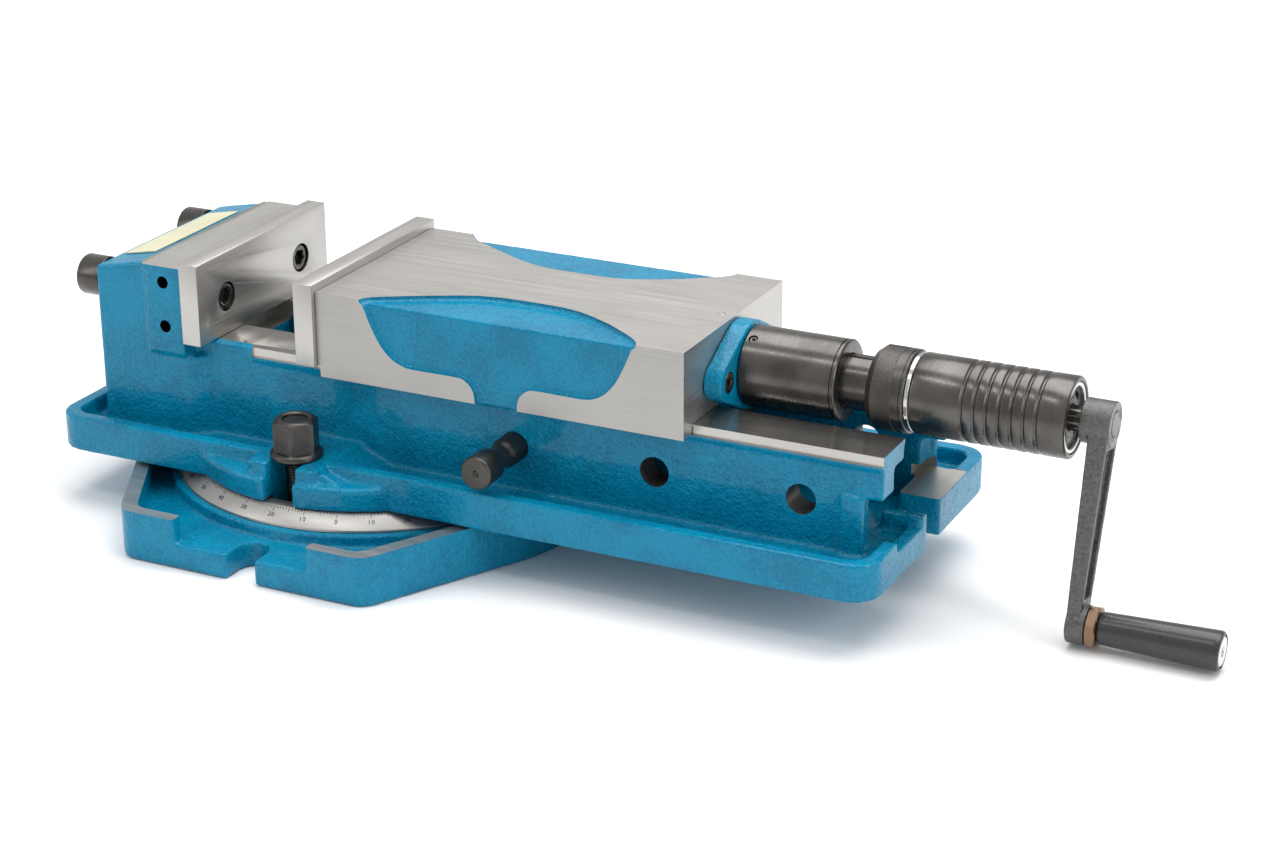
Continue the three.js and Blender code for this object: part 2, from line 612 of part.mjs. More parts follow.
const handle = placed(crank, 0, 0, -CRANK_THROW);
piece('grip_axle', alongX(union([disc(6, 0.4, 95, 24), disc(9.5, 93, 95, 24)])), CHROME,
  handle);
piece('grip_nut', alongX(hexagon(24, 12.3, 19).subtract(disc(6 + GAP, 10, 22, 24))),
  BRONZE, handle);
const gripProfile = [[6 + GAP, 19.4], [9.6, 19.4], [10.4, 21], [12.6, 19 + GRIP_LONG - 3],
  [11.8, 19 + GRIP_LONG], [10.2, 19 + GRIP_LONG], [10.2, 92.6], [6 + GAP, 92.6],
  [6 + GAP, 19.4]];
piece('grip', alongX(turned(gripProfile, 24)), GRIP, handle);

export default vise;
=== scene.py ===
"""Hydraulic machine vise on a swivel base: the looks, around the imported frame.

The frame is in metres, +Z up. The origin is on the swivel axis at the underside of the
base, +X runs along the bed towards the crank, and -Y is the operator's side. Sizes here
are in millimetres and are turned into metres where a mesh is made.
"""
import json
import math

import bmesh
import bpy
from mathutils import Matrix, Vector, noise

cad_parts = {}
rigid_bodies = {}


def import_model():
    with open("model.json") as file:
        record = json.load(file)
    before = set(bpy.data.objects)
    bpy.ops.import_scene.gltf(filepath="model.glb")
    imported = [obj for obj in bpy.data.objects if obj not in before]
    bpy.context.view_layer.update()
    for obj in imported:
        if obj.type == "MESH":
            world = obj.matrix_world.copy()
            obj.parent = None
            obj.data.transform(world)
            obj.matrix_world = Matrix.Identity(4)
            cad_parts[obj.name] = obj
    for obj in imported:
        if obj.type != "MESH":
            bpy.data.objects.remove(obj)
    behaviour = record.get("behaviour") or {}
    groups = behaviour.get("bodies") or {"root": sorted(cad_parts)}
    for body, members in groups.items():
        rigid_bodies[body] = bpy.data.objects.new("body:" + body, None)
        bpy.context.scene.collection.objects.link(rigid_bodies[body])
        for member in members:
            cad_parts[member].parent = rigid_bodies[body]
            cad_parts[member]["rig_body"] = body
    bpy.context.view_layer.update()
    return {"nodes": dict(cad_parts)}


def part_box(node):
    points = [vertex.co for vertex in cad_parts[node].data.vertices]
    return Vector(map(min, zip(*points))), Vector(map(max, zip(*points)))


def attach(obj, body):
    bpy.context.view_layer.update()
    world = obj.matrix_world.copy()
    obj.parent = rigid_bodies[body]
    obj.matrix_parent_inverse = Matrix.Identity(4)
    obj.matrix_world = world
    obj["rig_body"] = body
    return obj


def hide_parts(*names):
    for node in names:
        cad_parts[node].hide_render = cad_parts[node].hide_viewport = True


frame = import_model()
NODES = frame["nodes"]
MM = 0.001


def node_box(node):
    """A node's lowest and highest corners at rest, in millimetres."""
    return [[v / MM for v in corner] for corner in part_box(node)]


def node_middle(node):
    return [(a + b) / 2 for a, b in zip(*node_box(node))]


# ---------------------------------------------------------------- places taken from the frame
SLEEVE_LOW, SLEEVE_HIGH = node_box("ribbed_sleeve")
AXIS_Z = (SLEEVE_LOW[2] + SLEEVE_HIGH[2]) / 2
UNIT_END = SLEEVE_HIGH[0]
JAW_BACK, JAW_SIDE, JAW_TOP = node_box("moving_jaw")[1]
BLOCK_TOP = node_box("bed")[1][2]
BASE_RIM = node_box("swivel_base")[1][2]
PIN_X, _, PIN_Z = node_middle("locating_pin")
FIXED_LOW, FIXED_HIGH = node_box("fixed_jaw_plate")
MOVING_LOW, MOVING_HIGH = node_box("moving_jaw_plate")
STUD_CIRCLE = -node_middle("clamp_nut_near")[1]
RAIL_TOP, RAIL_IN, RAIL_OUT = 115.6, 28.0, 64.0
JAW_LOW_FACE = 109.0
PIN_HOLES = [PIN_X + 100 * i for i in range(3)]
PAD_HOLES = [(-115, 126), (-115, 157)]
KNURL_R, NECK_BORE_R = 26.8, 17.9
BODY_OF = {node: piece["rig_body"] for node, piece in NODES.items()}
CRANK_LEAN = math.radians(12.7)
CRANK_THROW = 125.0
CRANK_X = node_box("crank_arm")[1][0] - 13.0


# ---------------------------------------------------------------- camera, light and floor
def make_camera():
    azimuth, elevation, roll = (math.radians(a) for a in (26.117, 21.785, -0.239))
    back = Vector((math.sin(azimuth) * math.cos(elevation),
                   -math.cos(azimuth) * math.cos(elevation), math.sin(elevation)))
    level = Vector((math.cos(azimuth), math.sin(azimuth), 0))
    rise = back.cross(level)
    right = level * math.cos(roll) + rise * math.sin(roll)
    up = rise * math.cos(roll) - level * math.sin(roll)
    data = bpy.data.cameras.new("camera")
    data.lens, data.sensor_width = 78.32, 36.0
    camera = bpy.data.objects.new("camera", data)
    bpy.context.scene.collection.objects.link(camera)
    turn = Matrix((right, up, back)).transposed().to_4x4()
    camera.matrix_world = Matrix.Translation((0.9458, -1.5189, 0.7562)) @ turn
    bpy.context.scene.camera = camera


def area_light(name, place, aim, size, power):
    """A white rectangular lamp; places and sizes in metres, power in watts."""
    data = bpy.data.lights.new(name, "AREA")
    data.shape = "RECTANGLE"
    data.size, data.size_y = size
    data.energy = power
    light = bpy.data.objects.new(name, data)
    bpy.context.scene.collection.objects.link(light)
    line = Vector(aim) - Vector(place)
    light.matrix_world = (Matrix.Translation(Vector(place))
                          @ line.to_track_quat("-Z", "Y").to_matrix().to_4x4())


def make_stage():
    bpy.context.scene.view_settings.view_transform = "Standard"
    world = bpy.data.worlds.new("studio")
    bpy.context.scene.world = world
    world.use_nodes = True
    sky = world.node_tree.nodes["Background"]
    sky.inputs["Color"].default_value = (1.0, 1.0, 1.0, 1.0)
    sky.inputs["Strength"].default_value = 0.66
    centre = (0.12, 0.0, 0.1)
    area_light("overhead", (0.3, 0.5, 1.9), centre, (2.2, 1.6), 42)
    area_light("strip", (-0.2, -0.9, 1.8), centre, (1.2, 0.08), 5)
    area_light("left", (-1.5, -1.2, 1.1), centre, (0.5, 1.3), 6)
    area_light("right", (2.1, -0.5, 0.9), centre, (0.4, 1.3), 9)
    reach = 40.0
    paper = plain("paper", (0.93, 0.93, 0.93), 0.0, 0.9, 0.95, scale=3.0, relief=0.00001,
                  dark=0.985)
    mesh = bpy.data.meshes.new("floor")
    mesh.from_pydata([(-reach, -reach, 0), (reach, -reach, 0), (reach, reach, 0),
                      (-reach, reach, 0)], [], [(0, 1, 2, 3)])
    floor = bpy.data.objects.new("floor", mesh)
    floor.location.z = -0.0005
    bpy.context.scene.collection.objects.link(floor)
    mesh.materials.append(paper)


# ---------------------------------------------------------------- materials
class Nodes:
    """One material, with short calls that build its node tree."""

    def __init__(self, name, **values):
        self.material = bpy.data.materials.new(name)
        self.material.use_nodes = True
        self.tree = self.material.node_tree
        self.shader = self.tree.nodes["Principled BSDF"]
        self.place = self.tree.nodes.new("ShaderNodeTexCoord").outputs["Object"]
        for key, value in values.items():
            self.shader.inputs[key.replace("_", " ")].default_value = value

    def link(self, source, target):
        self.tree.links.new(source, self.shader.inputs[target]
                            if isinstance(target, str) else target)

    def stretched(self, scale):
        node = self.tree.nodes.new("ShaderNodeMapping")
        node.inputs["Scale"].default_value = scale
        self.link(self.place, node.inputs["Vector"])
        return node.outputs["Vector"]

    def noise(self, scale, detail=3.0, rough=0.5, vector=None):
        node = self.tree.nodes.new("ShaderNodeTexNoise")
        node.inputs["Scale"].default_value = scale
        node.inputs["Detail"].default_value = detail
        node.inputs["Roughness"].default_value = rough
        self.link(vector or self.place, node.inputs["Vector"])
        return node.outputs["Fac"]

    def cells(self, scale):
        node = self.tree.nodes.new("ShaderNodeTexVoronoi")
        node.feature = "SMOOTH_F1"
        node.inputs["Scale"].default_value = scale
        self.link(self.place, node.inputs["Vector"])
        return node.outputs["Distance"]

    def ramp(self, source, stops):
        node = self.tree.nodes.new("ShaderNodeValToRGB")
        for _ in range(len(stops) - 2):
            node.color_ramp.elements.new(0.5)
        for element, (position, color) in zip(node.color_ramp.elements, stops):
            element.position = position
            element.color = (*color, 1.0)
        self.link(source, node.inputs["Fac"])
        return node.outputs["Color"]

    def sum(self, first, second, share):
        """The first value plus a share of the second."""
        node = self.tree.nodes.new("ShaderNodeMath")
        node.operation = "MULTIPLY_ADD"
        node.inputs[1].default_value = share
        self.link(second, node.inputs[0])
        self.link(first, node.inputs[2])
        return node.outputs[0]

    def bump(self, source, height, strength=1.0, under=None):
        node = self.tree.nodes.new("ShaderNodeBump")
        node.inputs["Strength"].default_value = strength
        node.inputs["Distance"].default_value = height
        self.link(source, node.inputs["Height"])
        if under is not None:
            self.link(under, node.inputs["Normal"])
        return node.outputs["Normal"]


def grey(level):
    return (level, level, level)


def times(color, factor):
    return tuple(v * factor for v in color)


def hammered_paint():
    """Thick glossy enamel over a rough casting: orange peel over slow waves."""
    n = Nodes("hammered_paint", Metallic=0.0, Specular_IOR_Level=0.12, Coat_Weight=0.3,
              Coat_Roughness=0.08)
    tone = n.sum(n.noise(480.0, 3.0), n.noise(34.0), 0.8)
    n.link(n.ramp(tone, [(0.7, (0.0, 0.150, 0.275)), (1.1, (0.0, 0.215, 0.370))]),
           "Base Color")
    n.link(n.ramp(n.noise(300.0), [(0.3, grey(0.22)), (0.75, grey(0.4))]), "Roughness")
    waves = n.bump(n.noise(210.0, 2.0), 0.0014, 0.75)
    peel = n.bump(n.cells(560.0), 0.0009, 0.7, waves)
    n.link(n.bump(n.noise(1100.0, 2.0), 0.0003, 0.6, peel), "Normal")
    return n.material


def ground_steel(name, scale, light=1.0, low=0.3, high=0.46):
    """Surface-ground steel: fine lines along one direction and faint cloudy patches."""
    n = Nodes(name, Metallic=0.92)
    lines = n.noise(1.0, 4.0, 0.65, n.stretched(scale))
    tone = n.sum(lines, n.noise(16.0, 4.0), 0.5)
    n.link(n.ramp(tone, [(0.5, times((0.44, 0.425, 0.405), light)),
                         (1.0, times((0.55, 0.535, 0.51), light))]), "Base Color")
    n.link(n.ramp(lines, [(0.3, grey(low)), (0.7, grey(high))]), "Roughness")
    n.link(n.bump(lines, 0.00003, 0.4), "Normal")
    return n.material


def black_steel(name, scale, tint, low, high):
    """Blackened turned steel, slightly brown, with fine turning marks round its axis."""
    n = Nodes(name, Metallic=0.9)
    marks = n.noise(1.0, 3.0, 0.6, n.stretched(scale))
    n.link(n.ramp(n.noise(45.0, 4.0), [(0.3, tint), (0.8, times(tint, 2.0))]), "Base Color")
    n.link(n.ramp(marks, [(0.3, grey(low)), (0.7, grey(high))]), "Roughness")
    n.link(n.bump(marks, 0.00002, 0.35), "Normal")
    return n.material


def plain(name, color, metallic, low, high, scale=120.0, relief=0.00004, dark=0.85):
    """A simple metal or plastic with mottled tone and gloss, and a slight relief."""
    n = Nodes(name, Metallic=metallic)
    speckle = n.noise(scale, 4.0, 0.6)
    n.link(n.ramp(speckle, [(0.3, times(color, dark)), (0.7, color)]), "Base Color")
    n.link(n.ramp(speckle, [(0.3, grey(low)), (0.7, grey(high))]), "Roughness")
    n.link(n.bump(speckle, relief, 0.6), "Normal")
    return n.material


PAINT = hammered_paint()
STEEL_X = ground_steel("ground_steel_x", (12, 900, 900))
# Rail tops: a glossier ground steel (roughness 0.13 to 0.24), with its tone lowered to 0.85
# as a painted reflection of the dark jaw and cylinder above the rails.
RAIL = ground_steel("glossy_rail_steel_painted_reflection", (12, 900, 900), 0.85, 0.13, 0.24)
STEEL_Y = ground_steel("ground_steel_y", (900, 12, 900))
DARK_TINT = (0.046, 0.043, 0.040)
BLACK_X = black_steel("black_steel_x", (1300, 40, 40), times(DARK_TINT, 1.6), 0.2, 0.32)
BLACK_Y = black_steel("black_steel_y", (40, 2200, 40), DARK_TINT, 0.24, 0.38)
BLACK_Z = black_steel("black_steel_z", (40, 40, 2200), DARK_TINT, 0.26, 0.4)
CAST_BLACK = plain("rough_black_iron", (0.15, 0.15, 0.145), 0.7, 0.34, 0.55, 500.0, 0.0006,
                   0.5)
CHROME = plain("bright_steel", (0.6, 0.6, 0.59), 1.0, 0.12, 0.25)
BRONZE = plain("bronze", (0.24, 0.155, 0.10), 0.9, 0.3, 0.48)
PLASTIC = plain("grip_plastic", (0.030, 0.030, 0.031), 0.0, 0.2, 0.34, 900.0, 0.00003)
IRON = plain("raw_iron", (0.16, 0.155, 0.15), 0.85, 0.36, 0.55, 300.0, 0.0001)
LABEL = plain("label_stock", (0.60, 0.585, 0.40), 0.0, 0.3, 0.5, 40.0, 0.00001, 0.9)
DIAL_STEEL = ground_steel("dial_steel", (900, 900, 25), 0.85)
# Painted shade: the same ground steel as the jaw's top at 0.76 of its tone, so the side faces
# read darker than the top, as lighting would make them.
SHADED_SIDE_STEEL = ground_steel("side_steel_painted_shade", (12, 900, 900), 0.76)
KNURL = black_steel("knurled_steel", (2200, 40, 40), (0.06, 0.056, 0.052), 0.28, 0.4)
INK = plain("engraving_ink", (0.012, 0.012, 0.012), 0.0, 0.4, 0.6)


# ---------------------------------------------------------------- mesh helpers
def mesh_of(bm, name, material=None, smooth=35.0):
    """A mesh in metres from a bmesh in millimetres."""
    bmesh.ops.scale(bm, vec=(MM, MM, MM), verts=bm.verts)
    bmesh.ops.recalc_face_normals(bm, faces=bm.faces)
    mesh = bpy.data.meshes.new(name)
    bm.to_mesh(mesh)
    bm.free()
    if material:
        mesh.materials.append(material)
    soften(mesh, smooth)
    return mesh


def soften(mesh, degrees=35.0):
    mesh.polygons.foreach_set("use_smooth", [True] * len(mesh.polygons))
    mesh.set_sharp_from_angle(angle=math.radians(degrees))


def linked(name, data):
    piece = bpy.data.objects.new(name, data)
    bpy.context.scene.collection.objects.link(piece)
    return piece


def absorb(bm, other):
    """Adds another bmesh's corners and faces to bm, and frees the other."""
    mesh = bpy.data.meshes.new("part")
    other.to_mesh(mesh)
    other.free()
    bm.from_mesh(mesh)
    bpy.data.meshes.remove(mesh)


def repaint(data, material):
    data.materials.clear()
    data.materials.append(material)


def apply_modifiers(piece):
    """Gives a piece its evaluated mesh, and leaves no modifier on it."""
    graph = bpy.context.evaluated_depsgraph_get()
    mesh = bpy.data.meshes.new_from_object(piece.evaluated_get(graph))
    piece.modifiers.clear()
    piece.data = mesh


def modify(piece, kind, **values):
    modifier = piece.modifiers.new(kind.lower(), kind)
    for key, value in values.items():
        setattr(modifier, key, value)
    apply_modifiers(piece)


def boolean(piece, tools, operation, material=None):
    """Joins or cuts a piece with bmesh solids in millimetres. New faces get material."""
    for bm in tools:
        tool = linked("tool", mesh_of(bm, "tool", material))
        modify(piece, "BOOLEAN", operation=operation, solver="MANIFOLD", object=tool,
               material_mode="TRANSFER")
        bpy.data.objects.remove(tool)


def block(x0, x1, y0, y1, z0, z1):
    bm = bmesh.new()
    size = Matrix.Diagonal((x1 - x0, y1 - y0, z1 - z0, 1))
    middle = Matrix.Translation(((x0 + x1) / 2, (y0 + y1) / 2, (z0 + z1) / 2))
    bmesh.ops.create_cube(bm, size=1.0, matrix=middle @ size)
    return bm


def box_block(low, high):
    return block(low[0], high[0], low[1], high[1], low[2], high[2])


def both_sides(x0, x1, y0, y1, z0, z1):
    """A block at +Y and its mirror image at -Y."""
    return [block(x0, x1, y0, y1, z0, z1), block(x0, x1, -y1, -y0, z0, z1)]


def aimed(place, direction, spin=0.0):
    """A matrix whose Z axis points along direction, placed and turned about it."""
    turn = Vector(direction).to_track_quat("Z", "Y").to_matrix().to_4x4()
    return Matrix.Translation(Vector(place)) @ turn @ Matrix.Rotation(spin, 4, "Z")


ALONG_X = aimed((0, 0, AXIS_Z), (1, 0, 0))


def hex_corner(half):
    """A hexagon's radius over its corners, from its half width across flats."""
    return half / math.cos(math.pi / 6)


def ring(bm, steps, z, reach):
    """A ring of corners about Z; reach() gives the radius at each angle."""
    row = []
    for i in range(steps):
        angle = 2 * math.pi * i / steps
        radius = reach(angle)
        row.append(bm.verts.new((radius * math.cos(angle), radius * math.sin(angle), z)))
    return row


def band(bm, low, high):
    """Faces between two rings of the same length."""
    for i in range(len(low)):
        j = (i + 1) % len(low)
        bm.faces.new((low[i], low[j], high[j], high[i]))


def loops(rings, steps, closed=False, matrix=None):
    """Rings about Z, joined into one closed surface. A ring is (z, radius), with a third
    number for a hexagon's half width across flats, which the radius then limits. A radius
    of 0 is a point. A closed profile joins its last ring to its first."""
    bm = bmesh.new()
    rows = []
    for z, radius, *flat in rings:
        if radius == 0:
            rows.append([bm.verts.new((0, 0, z))])
            continue

        def reach(angle, radius=radius, flat=flat):
            if not flat:
                return radius
            off = (angle + math.pi / 6) % (math.pi / 3) - math.pi / 6
            return min(radius, flat[0] / math.cos(off))

        rows.append(ring(bm, steps, z, reach))
    pairs = list(zip(rows, rows[1:]))
    if closed:
        pairs.append((rows[-1], rows[0]))
    for low, high in pairs:
        if len(low) == len(high):
            band(bm, low, high)
            continue
        for i in range(steps):
            j = (i + 1) % steps
            if len(low) == 1:
                bm.faces.new((low[0], high[j], high[i]))
            else:
                bm.faces.new((low[i], low[j], high[0]))
    if matrix is not None:
        bmesh.ops.transform(bm, matrix=matrix, verts=bm.verts)
    return bm


def rod(place, direction, radius, length, steps=48):
    return loops([(0, 0), (0, radius), (length, radius), (length, 0)], steps,
                 matrix=aimed(place, direction))


def relief_rows(bm, radius, z0, z1, steps, rows, depth):
    """Rings from z0 to z1 whose radius at each angle and height is lowered by depth()."""
    grid = []
    for j in range(rows + 1):
        z = z0 + (z1 - z0) * j / rows
        grid.append(ring(bm, steps, z, lambda angle: radius - depth(angle, z)))
    return grid


def relief(radius, z0, z1, steps, rows, depth, matrix, domes=(0, 0)):
    """A bar about Z with a relief; domes says how far the ends' middles are shifted."""
    bm = bmesh.new()
    grid = relief_rows(bm, radius, z0, z1, steps, rows, depth)
    for low, high in zip(grid, grid[1:]):
        band(bm, low, high)
    for row, dome in ((grid[0], domes[0]), (grid[-1], domes[1])):
        hub = bm.verts.new((0, 0, row[0].co.z + dome))
        for i in range(steps):
            bm.faces.new((row[i], row[(i + 1) % steps], hub))
    bmesh.ops.transform(bm, matrix=matrix, verts=bm.verts)
    return bm


def thread(pitch, deep, start, stop):
    """Depth of a single-start thread with rounded crests, cut between two heights."""
    steepness, crest = 1.3, 0.15

    def depth(angle, z):
        if not start < z < stop:
            return 0.0
        wave = (z / pitch - angle / (2 * math.pi)) % 1.0
        return deep * max(0.0, min(1.0, abs(2 * wave - 1) * steepness - crest))
    return depth


def finished(name, node, mesh_or_piece):
    """Makes a mesh or piece stand for a CAD node, with its body."""
    piece = mesh_or_piece
    if isinstance(mesh_or_piece, bpy.types.Mesh):
        piece = linked(name, mesh_or_piece)
    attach(piece, BODY_OF[node])
    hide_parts(node)
    return piece


def revolved(name, node, rings, material, matrix=ALONG_X, steps=96, closed=False):
    bm = loops(rings, steps, closed, matrix)
    return finished(name, node, mesh_of(bm, name, material))


# ---------------------------------------------------------------- castings
def smooth_curve(points, parts=6):
    """Points on a Catmull-Rom curve through the given ones."""
    ends = [points[0], *points, points[-1]]
    line = []
    for a, b, c, d in zip(ends, ends[1:], ends[2:], ends[3:]):
        for i in range(parts):
            t = i / parts
            line.append(tuple(
                0.5 * (2 * q + (r - p) * t + (2 * p - 5 * q + 4 * r - s) * t * t
                       + (3 * q - p - 3 * r + s) * t ** 3)
                for p, q, r, s in zip(a, b, c, d)))
    return line + [points[-1]]


def prism(outline, low, high, place):
    """A closed outline in two coordinates swept from low to high; place() turns the two
    coordinates and the height into a position."""
    bm = bmesh.new()
    rows = [[bm.verts.new(place(a, b, height)) for a, b in outline] for height in (low, high)]
    count = len(outline)
    for i in range(count):
        j = (i + 1) % count
        bm.faces.new((rows[0][i], rows[0][j], rows[1][j], rows[1][i]))
    for row in rows:
        bm.faces.new(row)
    bmesh.ops.recalc_face_normals(bm, faces=bm.faces)
    bmesh.ops.triangulate(bm, faces=bm.faces)
    return bm


def cad_copy(node, material, move=None):
    """A welded copy of a CAD node as a loose object; move() may shift its corners."""
    bm = bmesh.new()
    bm.from_mesh(NODES[node].data)
    bmesh.ops.remove_doubles(bm, verts=bm.verts, dist=2e-6)
    if move:
        for vert in bm.verts:
            vert.co = Vector(move(*(vert.co / MM))) * MM
    mesh = bpy.data.meshes.new(node + "_stock")
    bm.to_mesh(mesh)
    bm.free()
    mesh.materials.append(material)
    return linked(node + "_stock", mesh)


def cast_surface(piece, voxel, relax, ripple=0.12):
    """Turns a stock shape into a cast one: rounded edges, fillets and a slight
    ripple."""
    size = voxel * 1.0
    long_wave, short_wave, short_share = 110, 310, 0.6
    modify(piece, "REMESH", mode="VOXEL", voxel_size=size * MM)
    modify(piece, "SMOOTH", factor=0.5, iterations=relax)
    mesh = piece.data
    places = [vert.co.copy() for vert in mesh.vertices]
    normals = [vert.normal.copy() for vert in mesh.vertices]
    moved = []
    for place, normal in zip(places, normals):
        lift = (noise.noise(place * long_wave)
                + short_share * noise.noise(place * short_wave))
        moved.extend(place + normal * (lift * ripple * MM))
    mesh.vertices.foreach_set("co", moved)
    mesh.update()


def thinned(piece, most):
    """Fewer faces where the surface is flat, then soft shading with crisp machined edges."""
    faces = sum(len(face.vertices) - 2 for face in piece.data.polygons)
    if faces > most:
        modify(piece, "DECIMATE", ratio=most / faces)
    soften(piece.data, 32.0)


def casting(name, node, voxel, relax, stock=(), relieve=(), machining=(), move=None,
            most=150_000):
    """A painted casting: the CAD solid with stock joined and relieve cut away before it is
    given its cast surface, and then the machining tools, each list with its finish."""
    piece = cad_copy(node, PAINT, move)
    boolean(piece, stock, "UNION")
    boolean(piece, relieve, "DIFFERENCE")
    cast_surface(piece, voxel, relax)
    repaint(piece.data, PAINT)
    for finish, tools in machining:
        boolean(piece, tools, "DIFFERENCE", finish)
    thinned(piece, most)
    piece.name = name
    return finished(name, node, piece)


def make_bed():
    far = 430
    front = FIXED_LOW[0] - 0.3
    strip_end = -55.5
    stock = [block(front, 396, -57, -26.5, 112, 118.6),
             block(front, 396, 26.5, 57, 112, 118.6)]
    stock += both_sides(strip_end, 396, 56, 65.5, 107, 118.6)
    stock += [block(front - 1, front + 3, -78, 78, 117, 171),
              block(-132, front + 3, -78, 78, 165, 171),
              block(378, 405, 12, 61, 59, 63.5)]
    stock += both_sides(369, 384, 60, 67.5, 48, 88)
    stock += [rod((x, side * 43.9 if side > 0 else -64, PIN_Z), (0, 1, 0), 12, 20.1)
              for x in PIN_HOLES for side in (-1, 1)]
    stock += [rod((x, side * 64, z), (0, side, 0), 6, 14) for x, z in PAD_HOLES
              for side in (-1, 1)]
    relieve = both_sides(front + 1, strip_end, 57, 70, 114.8, 120)
    tops = [block(front, far, -70, 70, RAIL_TOP, 125)]
    steel = [*both_sides(strip_end, far, RAIL_OUT - 0.3, 70, 109.3, 124),
             block(front, far, -RAIL_IN, RAIL_IN, 101, 124)]
    milled = [block(front, front + 8, -90, 90, 115.9, 176),
              block(-132.6, front + 8, -90, 90, BLOCK_TOP, 176),
              block(374, 420, 8, 63, 61.1, 68)]
    bores = [rod((x, -70, PIN_Z), (0, 1, 0), 10.1, 140, 64) for x in PIN_HOLES]
    threads = [rod((x, side * 66, z), (0, side, 0), 4.3, 14) for x, z in PAD_HOLES
               for side in (-1, 1)]
    # The rail tops get the darkened rail steel, whose lower tone is a painted reflection.
    machining = [(RAIL, tops), (STEEL_X, steel), (STEEL_Y, milled), (IRON, bores),
                 (BLACK_Y, threads)]
    return casting("bed_casting", "bed", 1.45, 9, stock, relieve, machining, most=190_000)


def make_base():
    def raised(x, y, z):
        """Machining stock on the rim, which is then faced off."""
        return (x, y, z + 3 if z > BASE_RIM - 0.1 else z)
    return casting("swivel_base_casting", "swivel_base", 1.3, 9, move=raised,
                   machining=[(STEEL_X, [block(-250, 250, -250, 250, BASE_RIM, 60)])],
                   most=140_000)


# The jaw's painted recesses: half of the side's outline, in mm from the waist and up, and
# the whole edge of the ledge on top, in mm from the waist and from the middle.
WAIST_X = 136.2
SIDE_RUN = [(15, 100), (15.5, 113), (17.5, 119), (21.5, 123), (27, 125), (45, 125),
            (62, 125), (70, 126.5), (78, 131), (85, 139), (91, 150), (96, 162), (99, 172)]
LEDGE_RUN = [(-99, -90), (-98, -72), (-80, -59.5), (-58, -47.5), (-38, -38), (-22, -33.8),
             (-5, -32.5), (18, -32.5), (34, -34.2), (52, -40.5), (76, -54), (98, -72),
             (99, -90)]


def make_moving_jaw():
    over = 3.0
    side, top, back = JAW_SIDE + over, JAW_TOP + over, JAW_BACK + over
    stock = [*both_sides(6, back, 67, side, JAW_TOP - 55, top),
             block(6, back, -side, side, 155, top),
             block(0.5, 9, -side, side, 116, top),
             *both_sides(6, back, 66, side, 107, 114),
             block(256, back, -68, 68, RAIL_TOP + 0.3, 156)]
    run = smooth_curve(SIDE_RUN)
    outline = [(WAIST_X + dx, z) for dx, z in run]
    outline += [(WAIST_X - dx, z) for dx, z in reversed(run)]
    ledge = [(WAIST_X + dx, y) for dx, y in smooth_curve(LEDGE_RUN)]
    side_depth, ledge_depth = 3.4, 3.0
    relieve = []
    for hand in (-1, 1):
        low, high = sorted((hand * (JAW_SIDE - side_depth), hand * 90))
        relieve.append(prism(outline, low, high, lambda x, z, y: (x, y, z)))
        turned = [(x, -hand * y) for x, y in ledge]
        relieve.append(prism(turned, JAW_TOP - ledge_depth, 180,
                             lambda x, y, z: (x, y, z)))
    along = [block(-40, 300, -90, 90, JAW_TOP, 180)]
    sides = [*both_sides(-40, 300, JAW_SIDE, 95, 80, 190),
             *both_sides(-40, 300, 60, 95, 90, JAW_LOW_FACE)]
    across = [block(JAW_BACK, 300, -95, 95, 80, 190),
              block(-40, MOVING_HIGH[0] + 0.4, -95, 95, 80, 190)]
    spigot_bore = [rod((250, 0, AXIS_Z), (1, 0, 0), 24.4, 30, 64)]
    # The jaw's side faces get the darker copy of the ground steel, which is painted shade.
    machining = [(STEEL_X, along), (SHADED_SIDE_STEEL, sides), (STEEL_Y, across),
                 (IRON, spigot_bore)]
    return casting("moving_jaw_casting", "moving_jaw", 1.1, 10, stock, relieve, machining,
                   most=170_000)


def make_flange():
    reach = 36
    stock = [rod((JAW_BACK + 2, side * reach, AXIS_Z), (1, 0, 0), 8, 10.5)
             for side in (-1, 1)]
    bores = [rod((JAW_BACK + 7.5, side * reach, AXIS_Z), (1, 0, 0), 7, 12)
             for side in (-1, 1)]
    return casting("mount_flange_casting", "mount_flange", 0.75, 5, stock,
                   machining=[(BLACK_X, bores)], most=40_000)


# ---------------------------------------------------------------- jaw plates and screws
def make_plate(node, face_sign):
    low, high = node_box(node)
    piece = linked(node + "_ground", mesh_of(box_block(low, high), node, STEEL_Y))
    face = high[0] if face_sign > 0 else low[0]
    middle = (low[2] + high[2]) / 2 - 2.7
    for side in (-1, 1):
        spot = (face + face_sign, side * 46, middle)
        inward = (-face_sign, 0, 0)
        boolean(piece, [rod(spot, inward, 10, 10.5, 64), rod(spot, inward, 6.3, 30, 64)],
                "DIFFERENCE", BLACK_X)
    modify(piece, "BEVEL", width=0.45 * MM, segments=2, limit_method="ANGLE",
           angle_limit=math.radians(40), use_clamp_overlap=False)
    soften(piece.data, 30.0)
    return finished(piece.name, node, piece)


def cap_rings(head_r, head_high, shank_r, shank_long, flats):
    """A socket-head cap screw: its top face is at 0 and its shank runs to -Z."""
    edge = head_r * 0.09
    half = flats / 2
    socket = head_high * 0.6
    return [(-head_high - shank_long, 0), (-head_high - shank_long, shank_r - 0.6),
            (-head_high - shank_long + 0.6, shank_r), (-head_high, shank_r),
            (-head_high, head_r - 0.3), (-head_high + 0.3, head_r), (-edge, head_r),
            (-edge * 0.3, head_r - edge * 0.3), (0, head_r - edge),
            (0, hex_corner(half) + 0.5), (-0.5, half * 1.16, half),
            (-socket, half * 1.16, half), (-socket - 1.2, 0)]


